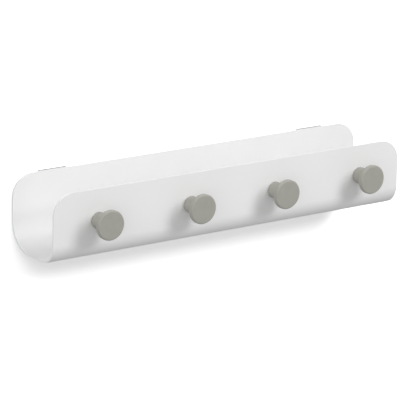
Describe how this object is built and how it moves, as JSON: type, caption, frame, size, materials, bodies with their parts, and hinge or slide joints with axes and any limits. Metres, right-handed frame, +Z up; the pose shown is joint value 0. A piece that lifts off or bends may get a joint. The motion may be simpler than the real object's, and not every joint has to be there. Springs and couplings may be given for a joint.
{
  "type": "wall coat rail",
  "caption": "Wall-hung coat rail: a white bent-metal letter tray of U section with round mushroom knobs on its front, hooked over brackets on the wall.",
  "frame": {"origin": "on the wall plane, midway between the two wall brackets, at the height of the tray's underside", "axes": "+X along the rail to the right as seen from the room, +Y into the wall, +Z up"},
  "size_m": [0.45, 0.139, 0.0785],
  "materials": {
    "white_coat": "fine white powder coat, satin",
    "warm_grey": "warm grey, matte",
    "brass": "machined",
    "zinc": "bright zinc plate",
    "rubber": "matte black"
  },
  "bodies": {
    "wall_side": {"wall_bracket_left": "zinc", "wall_bracket_right": "zinc", "wall_screw_left_upper": "zinc", "wall_screw_left_lower": "zinc", "wall_screw_right_upper": "zinc", "wall_screw_right_lower": "zinc"},
    "hung_tray": {"tray": "white_coat", "knob_1": "warm_grey", "knob_2": "warm_grey", "knob_3": "warm_grey", "knob_4": "warm_grey", "knob_insert_1": "brass", "knob_insert_2": "brass", "knob_insert_3": "brass", "knob_insert_4": "brass", "knob_screw_1": "zinc", "knob_screw_2": "zinc", "knob_screw_3": "zinc", "knob_screw_4": "zinc", "knob_washer_1": "zinc", "knob_washer_2": "zinc", "knob_washer_3": "zinc", "knob_washer_4": "zinc", "hanger_clip_left": "white_coat", "hanger_clip_right": "white_coat", "bumper_left": "rubber", "bumper_right": "rubber"}
  },
  "joints": [
    {"name": "tray_lift", "type": "slide", "parent": "wall_side", "child": "hung_tray", "axis": [0, 0, 1], "range_m": [0, 0.012]}
  ]
}
